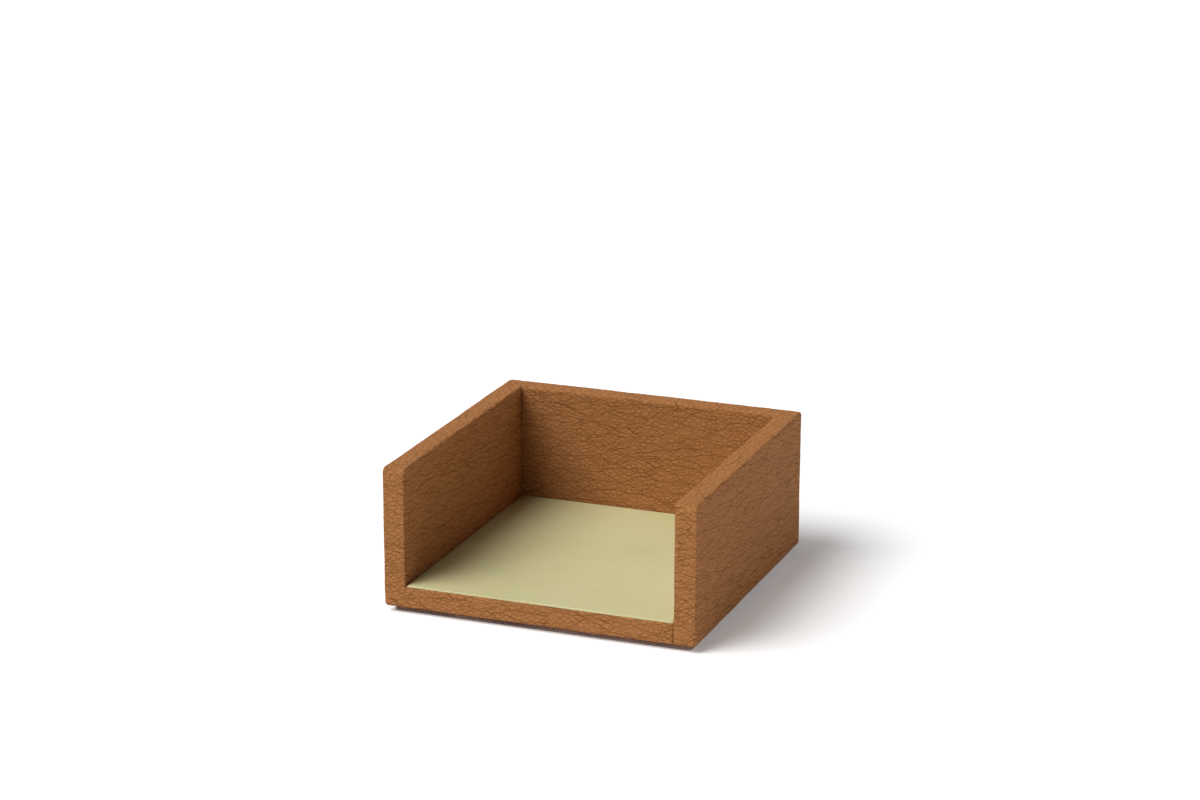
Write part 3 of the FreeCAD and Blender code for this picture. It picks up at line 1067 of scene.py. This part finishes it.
@dataclass(kw_only=True)
class BackWallLeather(LeatherSkin):
    """The skin of the back wall, folded over its top, turned in below and mitred at both ends."""

    def grids(self, every: int) -> list[np.ndarray]:
        """Under the base, up the outside, over the top and down the inside.

        Args:
            every: how many fine steps make one.

        Returns:
            Grids that share their edges.
        """
        at = self.lines
        along = self.steps(2 * at.outer_x, every)
        wall = self.steps(at.outer_x - at.inner_x, every)

        def across(reach: float, y: float, z: float) -> np.ndarray:
            """A line from left to right."""
            return rail([(-reach, y, z), (reach, y, z)], along)

        turned = across(at.turned_x, at.turned_y, at.under_z)
        bottom = across(at.outer_x, at.back_y, at.under_z)
        top = across(at.outer_x, at.back_y, at.top_z)
        inner_top = across(at.inner_x, at.inner_y, at.top_z)
        inner_foot = across(at.inner_x, at.inner_y, at.floor_z)
        return [
            between(turned, bottom, wall),
            between(bottom, top, self.steps(at.top_z - at.under_z, every)),
            between(top, inner_top, wall),
            between(inner_top, inner_foot, self.steps(at.top_z - at.floor_z, every)),
        ]

    def limits(self, sharp: np.ndarray) -> tuple[np.ndarray, np.ndarray, np.ndarray]:
        """The wall, open to the base below the floor.

        Args:
            sharp: points on the block with sharp edges.

        Returns:
            Its lowest and highest corner and the radius of its folds, for each point.
        """
        at = self.lines
        low = np.full_like(sharp, -np.inf)
        low[sharp[:, 2] > at.floor_z - TINY, 1] = at.inner_y
        low[:, 2] = at.under_z
        high = np.array([np.inf, at.back_y, at.top_z])
        return low, high, self.lower_folds(sharp, self.fold_radius)[:, None]

    def rounded_edges(self) -> list[RoundedEdge]:
        """The two upright back corners.

        Returns:
            Each with its radius.
        """
        at, radius = self.lines, self.back_corner_radius
        return [
            RoundedEdge((0, 1), (sign * (at.outer_x - radius), at.back_y - radius), (sign, 1), radius)
            for sign in (-1, 1)
        ]

    def settle(self, face: np.ndarray) -> np.ndarray:
        """The mitres.

        Args:
            face: points on the face, with its folds.

        Returns:
            A depth for each point.
        """
        x, y, _ = face.T
        outside = y > self.lines.inner_y + self.fold_radius
        return np.where(outside, rolled((y - np.abs(x)) / math.sqrt(2), self.mitre_roll), 0.0)

    def square_up(self, back: np.ndarray, sharp: np.ndarray) -> np.ndarray:
        """Brings the back's ends onto the mitres.

        Args:
            back: points on the back.
            sharp: the same points on the block with sharp edges.

        Returns:
            The back's points.
        """
        ends = np.abs(np.abs(sharp[:, 0]) - sharp[:, 1]) < TINY
        back[ends, 0] = np.sign(back[ends, 0]) * back[ends, 1]
        return back

    def flat(self) -> tuple[float, float]:
        """Across the turned-in edge, both faces and the top, by the wall's length.

        Returns:
            The sheet's two lengths.
        """
        at = self.lines
        across = (at.back_y - at.turned_y) + (at.top_z - at.under_z) + (at.back_y - at.inner_y)
        return across + (at.top_z - at.floor_z), 2 * at.outer_x


@dataclass(kw_only=True)
class FrontEdgeLeather(LeatherSkin):
    """The strip on the front edge of the base, its upper edge pared round and its ends butted."""

    strip_edge_radius: float = 0.4 * MM
    left_seam_roll: float
    right_seam_roll: float

    def grids(self, every: int) -> list[np.ndarray]:
        """Under the base and up the front.

        Args:
            every: how many fine steps make one.

        Returns:
            Grids that share their edges.
        """
        at = self.lines
        along = self.steps(2 * at.inner_x, every)
        turned = rail(
            [(-at.turned_x, -at.turned_y, at.under_z), (at.turned_x, -at.turned_y, at.under_z)], along
        )
        bottom, top = (
            rail([(-at.inner_x, at.front_y, z), (at.inner_x, at.front_y, z)], along)
            for z in (at.under_z, at.floor_z)
        )
        return [
            between(turned, bottom, self.steps(-at.turned_y - at.front_y, every)),
            between(bottom, top, self.steps(at.floor_z - at.under_z, every)),
        ]

    def limits(self, sharp: np.ndarray) -> tuple[np.ndarray, np.ndarray, np.ndarray]:
        """The base's lower front edge.

        Args:
            sharp: points on the block with sharp edges.

        Returns:
            Its lowest and highest corner and the radius of its folds, for each point.
        """
        at = self.lines
        low = np.array([-np.inf, at.front_y, at.under_z])
        return low, np.full(3, np.inf), self.lower_folds(sharp, self.fold_radius)[:, None]

    def settle(self, face: np.ndarray) -> np.ndarray:
        """The pared upper edge and the two butted ends.

        Args:
            face: points on the face, with its folds.

        Returns:
            A depth for each point.
        """
        at = self.lines
        x, y, z = face.T
        front = y < at.front_y + self.fold_radius
        pared = np.where(front, rolled(at.floor_z - z, self.strip_edge_radius), 0.0)
        left = rolled(x + at.inner_x, self.left_seam_roll)
        right = rolled(at.inner_x - x, self.right_seam_roll)
        return np.maximum(pared, np.where(front, left + right, 0.0))

    def flat(self) -> tuple[float, float]:
        """The height of the edge and the turned-in part, by the strip's length."""
        at = self.lines
        return (at.floor_z - at.under_z) + (-at.turned_y - at.front_y), 2 * at.inner_x


@dataclass(kw_only=True)
class FloorLining(FoldedSkin):
    """The lining pasted over the floor card and turned down over its front edge."""

    slot: str = "olive_lining"
    fold_radius: float = 0.15 * MM
    cut_edge_roll: float = 0.22 * MM

    @classmethod
    def from_frame(cls, lines: TrayLines) -> "FloorLining":
        """Takes its thickness from the solids.

        Args:
            lines: the tray's planes.

        Returns:
            The lining.
        """
        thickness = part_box("floor_lining")[1].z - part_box("floor_card")[1].z
        return cls(
            name="pasted_floor_lining",
            node="floor_lining",
            rests_on=["floor_card"],
            lines=lines,
            thickness=thickness,
            step=0.88 * MM,
        )

    def grids(self, every: int) -> list[np.ndarray]:
        """The floor, and the part that turns down at the front.

        Args:
            every: how many fine steps make one.

        Returns:
            Grids that share their edges.
        """
        low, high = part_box(self.node)
        along = self.steps(high.x - low.x, every)
        near = 2 * self.fold_radius
        foot, below, front, behind, back = (
            rail([(low.x, y, z), (high.x, y, z)], along)
            for y, z in (
                (low.y, low.z),
                (low.y, high.z - near),
                (low.y, high.z),
                (low.y + near, high.z),
                (high.y, high.z),
            )
        )
        return [
            between(foot, below, self.coarse // every),
            between(below, front, self.coarse // every),
            between(front, behind, self.coarse // every),
            between(behind, back, self.steps(high.y - low.y - near, every)),
        ]

    def limits(self, sharp: np.ndarray) -> tuple[np.ndarray, np.ndarray, np.ndarray]:
        """The lined card, open at its cut edges.

        Args:
            sharp: points on the block with sharp edges.

        Returns:
            Its lowest and highest corner and the radius of its folds, for each point.
        """
        low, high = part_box(self.node)
        return (
            np.array([-np.inf, low.y, -np.inf]),
            np.array([np.inf, np.inf, high.z]),
            np.full((len(sharp), 1), self.fold_radius),
        )

    def settle(self, face: np.ndarray) -> np.ndarray:
        """The cut edges, softened.

        Args:
            face: points on the face, with its folds.

        Returns:
            A depth for each point.
        """
        low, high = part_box(self.node)
        edge = np.minimum.reduce([face[:, 0] - low.x, high.x - face[:, 0], high.y - face[:, 1]])
        return rolled(edge, self.cut_edge_roll)

    def flat(self) -> tuple[float, float]:
        """The floor's width, by its depth and the part that turns down."""
        low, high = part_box(self.node)
        return high.x - low.x, (high.y - low.y) + (high.z - low.z)


@dataclass
class CordedPad:
    """The pad under the base: a slab of felt with short wool cords side by side round its lower edge."""

    name: str = "corded_base_pad"
    node: str = "base_felt"
    slot: str = "foot_felt"
    corner_radius: float = 1.5 * MM
    corner_steps: int = 5
    cord: float = 0.83 * MM
    cord_depth: float = 0.60 * MM
    cord_height: float = 0.95 * MM
    cord_sides: int = 10
    set_back: float = 0.55 * MM
    tilt: float = math.radians(7)
    seed: int = 4

    def build(self) -> Piece:
        """Puts the felt slab into the scene.

        Returns:
            The slab, set back behind the cords all round.
        """
        low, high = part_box(self.node)
        radius = self.corner_radius - self.set_back
        reach_x, reach_y = high.x - self.corner_radius, high.y - self.corner_radius
        outline = []
        for quarter, (sign_x, sign_y) in enumerate(((1, 1), (-1, 1), (-1, -1), (1, -1))):
            centre = Vector((sign_x * reach_x, sign_y * reach_y, 0))
            for n in range(self.corner_steps + 1):
                turn = math.pi / 2 * (quarter + n / self.corner_steps)
                outline.append(centre + radius * Vector((math.cos(turn), math.sin(turn), 0)))
        slab = bmesh.new()
        rings = [[slab.verts.new(p + Vector((0, 0, z))) for p in outline] for z in (low.z, high.z)]
        slab.faces.new(reversed(rings[0]))
        slab.faces.new(rings[1])
        for n in range(len(outline)):
            following = (n + 1) % len(outline)
            slab.faces.new((rings[0][n], rings[0][following], rings[1][following], rings[1][n]))
        mesh = bpy.data.meshes.new(self.name)
        slab.to_mesh(mesh)
        slab.free()
        return new_piece(self.name, mesh)

    def cord_tree(self) -> Tree:
        """The geometry tree that stands the cords round the slab.

        Returns:
            A tree with the pad's sizes coming in.
        """
        floats = ["Width", "Depth", "Corner Radius", "Cord", "Cord Depth", "Cord Height", "Rise", "Tilt"]
        tree, given = new_tree("pad_cords", floats)
        tree.interface.new_socket("Seed", in_out="INPUT", socket_type="NodeSocketInt")
        size = given.outputs
        oblong = {"Width": size["Width"], "Height": size["Depth"]}
        path = add_node(tree, "GeometryNodeCurvePrimitiveQuadrilateral", oblong)
        corners = {"Curve": path, "Radius": size["Corner Radius"], "Count": self.corner_steps}
        rounded = add_node(tree, "GeometryNodeFilletCurve", corners, mode="POLY")
        spacing = {"Curve": rounded, "Length": size["Cord"]}
        spaced = add_node(tree, "GeometryNodeResampleCurve", spacing, mode="LENGTH")
        raised = add_node(tree, "ShaderNodeCombineXYZ", {"Z": size["Rise"]})
        stood = add_node(tree, "GeometryNodeSetPosition", {"Geometry": spaced, "Offset": raised})
        round_cord = {"Vertices": self.cord_sides, "Side Segments": 1, "Radius": 0.5, "Depth": 1.0}
        swing = add_node(tree, MATH, {0: size["Tilt"], 1: -1.0}, operation="MULTIPLY")
        leans = {2: swing, 3: size["Tilt"], "Seed": size["Seed"]}
        lean = add_node(tree, "FunctionNodeRandomValue", leans, data_type="FLOAT")
        stretched = {"X": size["Cord Depth"], "Y": size["Cord Depth"], "Z": size["Cord Height"]}
        standing = {
            "Points": stood,
            "Instance": add_node(tree, "GeometryNodeMeshCylinder", round_cord),
            "Rotation": add_node(tree, "ShaderNodeCombineXYZ", {"X": lean, "Y": lean}),
            "Scale": add_node(tree, "ShaderNodeCombineXYZ", stretched),
        }
        cords = add_node(tree, "GeometryNodeInstanceOnPoints", standing)
        smooth = add_node(tree, "GeometryNodeSetShadeSmooth", {"Geometry": cords})
        both = add_node(tree, "GeometryNodeJoinGeometry")
        tree.links.new(size["Mesh"], both.inputs["Geometry"])
        tree.links.new(smooth.outputs["Geometry"], both.inputs["Geometry"])
        close_tree(tree, both, size["Material"])
        return tree

    def dress(self, piece: Piece, wool: bpy.types.Material) -> None:
        """Stands the cords round the slab and dyes both.

        Args:
            piece: the slab.
            wool: the finish.
        """
        low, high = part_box(self.node)
        # A cord leans both ways at once, and is raised so that its lower edge stays off the ground
        furthest_lean = math.sqrt(2) * self.tilt
        dip = self.cord_depth / 2 * math.sin(furthest_lean)
        values = {
            "Material": wool,
            "Width": high.x - low.x - self.cord_depth,
            "Depth": high.y - low.y - self.cord_depth,
            "Corner Radius": self.corner_radius - self.cord_depth / 2,
            "Cord": self.cord,
            "Cord Depth": self.cord_depth,
            "Cord Height": self.cord_height,
            "Rise": self.cord_height / 2 + dip,
            "Tilt": self.tilt,
            "Seed": self.seed,
        }
        bake_tree(piece, self.cord_tree(), values)

    def declare(self, piece: Piece) -> None:
        """Says what the piece rides on and stands for.

        Args:
            piece: the finished piece.
        """
        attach(piece, BODY)
        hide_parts(self.node)
        log.info("%s: %d faces", piece.name, len(piece.data.polygons))


@dataclass
class Carcass:
    """The boards, brads and cards inside, which keep their solids."""

    boards: tuple[str, ...] = ("base_board", "left_wall_board", "right_wall_board", "back_wall_board")
    brads: tuple[str, ...] = ("carcass_brads",)
    cards: tuple[str, ...] = ("floor_card", "base_infill_card")

    def dress(self) -> None:
        """Gives each solid its finish."""
        finishes = {FIBREBOARD: self.boards, BRAD_STEEL: self.brads, GREY_CARD: self.cards}
        for finish, names in finishes.items():
            material = finish.material()
            for name in names:
                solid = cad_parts[name]
                solid.data.materials.clear()
                solid.data.materials.append(material)
                log.info("%s: %s", name, finish.name)


def direction(azimuth: float, elevation: float) -> Vector:
    """The way from the middle towards a lamp or the camera.

    Args:
        azimuth: degrees round from the front to the right.
        elevation: degrees up from the ground.

    Returns:
        A direction of length 1.
    """
    turn, rise = math.radians(azimuth), math.radians(elevation)
    return Vector((math.sin(turn) * math.cos(rise), -math.cos(turn) * math.cos(rise), math.sin(rise)))


@dataclass(frozen=True)
class Lamp:
    """A large soft lamp, far away.

    It has a place and a width in degrees, and the level is how bright it makes a surface that faces it.
    """

    name: str
    azimuth: float
    elevation: float
    width: float
    level: float

    def build(self) -> None:
        """Hangs the lamp."""
        light = bpy.data.lights.new(self.name, "SUN")
        light.energy = self.level * math.pi
        light.angle = math.radians(self.width)
        towards = direction(self.azimuth, self.elevation)
        lamp = bpy.data.objects.new(self.name, light)
        lamp.rotation_mode = "QUATERNION"
        lamp.rotation_quaternion = towards.to_track_quat("Z", "Y")
        bpy.context.scene.collection.objects.link(lamp)


@dataclass(frozen=True)
class StudioFloor(Finish):
    """White paper sweep: matt, and lifted to plain white where the eye sees it or its mirror image."""

    name: str = "white_paper_sweep"
    paper_colour: str = "#FAFAFA"
    lift: float = 0.19

    def surface(self, tree: Tree, place: Socket) -> Node:
        """Wires matt paper and the lift.

        Args:
            tree: the material's tree.
            place: Object coordinates, which plain paper has no use for.

        Returns:
            The shader.
        """
        paper = add_node(tree, "ShaderNodeBsdfDiffuse", {"Color": to_linear(self.paper_colour)})
        lifted = add_node(tree, MATH, {0: seen_directly(tree), 1: self.lift}, operation="MULTIPLY")
        glow = add_node(tree, "ShaderNodeEmission", {"Strength": lifted})
        return add_node(tree, "ShaderNodeAddShader", {0: paper, 1: glow})


def seen_directly(tree: Tree) -> Node:
    """One for a ray from the eye, or one that gloss or glass sends on.

    Args:
        tree: the tree that it goes into.

    Returns:
        One or nothing.
    """
    path = add_node(tree, "ShaderNodeLightPath")
    seen: Socket | Node = path.outputs["Is Camera Ray"]
    for ray in ("Is Glossy Ray", "Is Transmission Ray"):
        seen = add_node(tree, MATH, {0: seen, 1: path.outputs[ray]}, operation="MAXIMUM")
    return seen


@dataclass
class Studio:
    """A white floor, large soft lamps, and a room that the eye sees as white and that gives no light."""

    floor_reach: float = 6.0
    floor_drop: float = 0.02 * MM
    lamps: tuple[Lamp, ...] = (
        Lamp("key", azimuth=-44, elevation=53, width=40, level=1.02),
        Lamp("front_card", azimuth=-16, elevation=12, width=50, level=0.16),
        Lamp("right_card", azimuth=105, elevation=12, width=44, level=0.29),
        Lamp("back_left_card", azimuth=-120, elevation=52, width=50, level=0.07),
    )

    def build(self) -> None:
        """Lays the floor, hangs the lamps and whitens the room."""
        reach, drop = self.floor_reach, self.floor_drop
        mesh = bpy.data.meshes.new("studio_floor")
        signs = ((-1, -1), (1, -1), (1, 1), (-1, 1))
        mesh.from_pydata([(x * reach, y * reach, -drop) for x, y in signs], [], [(0, 1, 2, 3)])
        mesh.materials.append(StudioFloor().material())
        new_piece("studio_floor", mesh)
        for lamp in self.lamps:
            lamp.build()
        world = bpy.data.worlds.new("white_room")
        world.use_nodes = True
        tree = world.node_tree
        tree.nodes.clear()
        white = {"Color": to_linear("#FFFFFF"), "Strength": seen_directly(tree)}
        room = add_node(tree, "ShaderNodeBackground", white)
        add_node(tree, "ShaderNodeOutputWorld", {"Surface": room})
        bpy.context.scene.world = world


@dataclass(frozen=True)
class Viewpoint:
    """The camera, where the photograph was taken from."""

    azimuth: float = 20.993
    elevation: float = 17.0
    roll: float = 0.111
    distance: float = 974.26 * MM
    target: Point = (0.62 * MM, 0.0, 55.31 * MM)
    focal_pixels: float = 3355.8
    image_width_pixels: float = 1200.0
    nearest: float = 10.0 * MM

    def build(self) -> None:
        """Sets up the camera."""
        camera = bpy.data.cameras.new("viewpoint")
        camera.lens = camera.sensor_width * self.focal_pixels / self.image_width_pixels
        camera.clip_start = self.nearest
        back = direction(self.azimuth, self.elevation)
        eye = bpy.data.objects.new("viewpoint", camera)
        eye.location = Vector(self.target) + back * self.distance
        eye.rotation_mode = "QUATERNION"
        level = (-back).to_track_quat("-Z", "Y")
        eye.rotation_quaternion = level @ Quaternion((0.0, 0.0, 1.0), math.radians(self.roll))
        bpy.context.scene.collection.objects.link(eye)
        bpy.context.scene.camera = eye


def leather_skins(lines: TrayLines) -> list[LeatherSkin]:
    """The four skins.

    Args:
        lines: the tray's planes.

    Returns:
        The side walls', the back wall's and the front edge's skins.
    """
    shared = {"lines": lines, "thickness": lines.leather}
    open_seam, tight_seam = 0.34 * MM, 0.03 * MM
    return [
        SideWallLeather(
            name="grained_left_wall",
            node="left_wall_leather",
            rests_on=["left_wall_board"],
            side=Side.LEFT,
            seam_roll=tight_seam,
            **shared,
        ),
        SideWallLeather(
            name="grained_right_wall",
            node="right_wall_leather",
            rests_on=["right_wall_board"],
            side=Side.RIGHT,
            seam_roll=open_seam,
            pucker_depth=0.5 * MM,
            **shared,
        ),
        BackWallLeather(
            name="grained_back_wall", node="back_wall_leather", rests_on=["back_wall_board"], **shared
        ),
        FrontEdgeLeather(
            name="grained_front_edge",
            node="front_edge_leather",
            rests_on=["base_board"],
            left_seam_roll=tight_seam,
            right_seam_roll=open_seam,
            **shared,
        ),
    ]


def write_sizes() -> None:
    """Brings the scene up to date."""
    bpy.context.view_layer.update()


def main() -> None:
    """Builds and dresses the pieces in order, then the studio and the camera."""
    logging.basicConfig(level=logging.INFO, format="%(message)s")
    bpy.context.scene.view_settings.view_transform = "Standard"
    lines = TrayLines.from_frame()
    leather = TumbledLeather()
    leather.material()
    grain = leather.grain.tree()
    for skin in leather_skins(lines):
        piece = skin.build()
        skin.dress(piece, grain, leather)
        skin.declare(piece)
    lining = FloorLining.from_frame(lines)
    piece = lining.build()
    piece.data.materials.append(LINING.material())
    lining.declare(piece)
    pad = CordedPad()
    piece = pad.build()
    pad.dress(piece, PAD_WOOL.material())
    pad.declare(piece)
    Carcass().dress()
    Studio().build()
    Viewpoint().build()
    write_sizes()


if __name__ == "__main__":
    main()
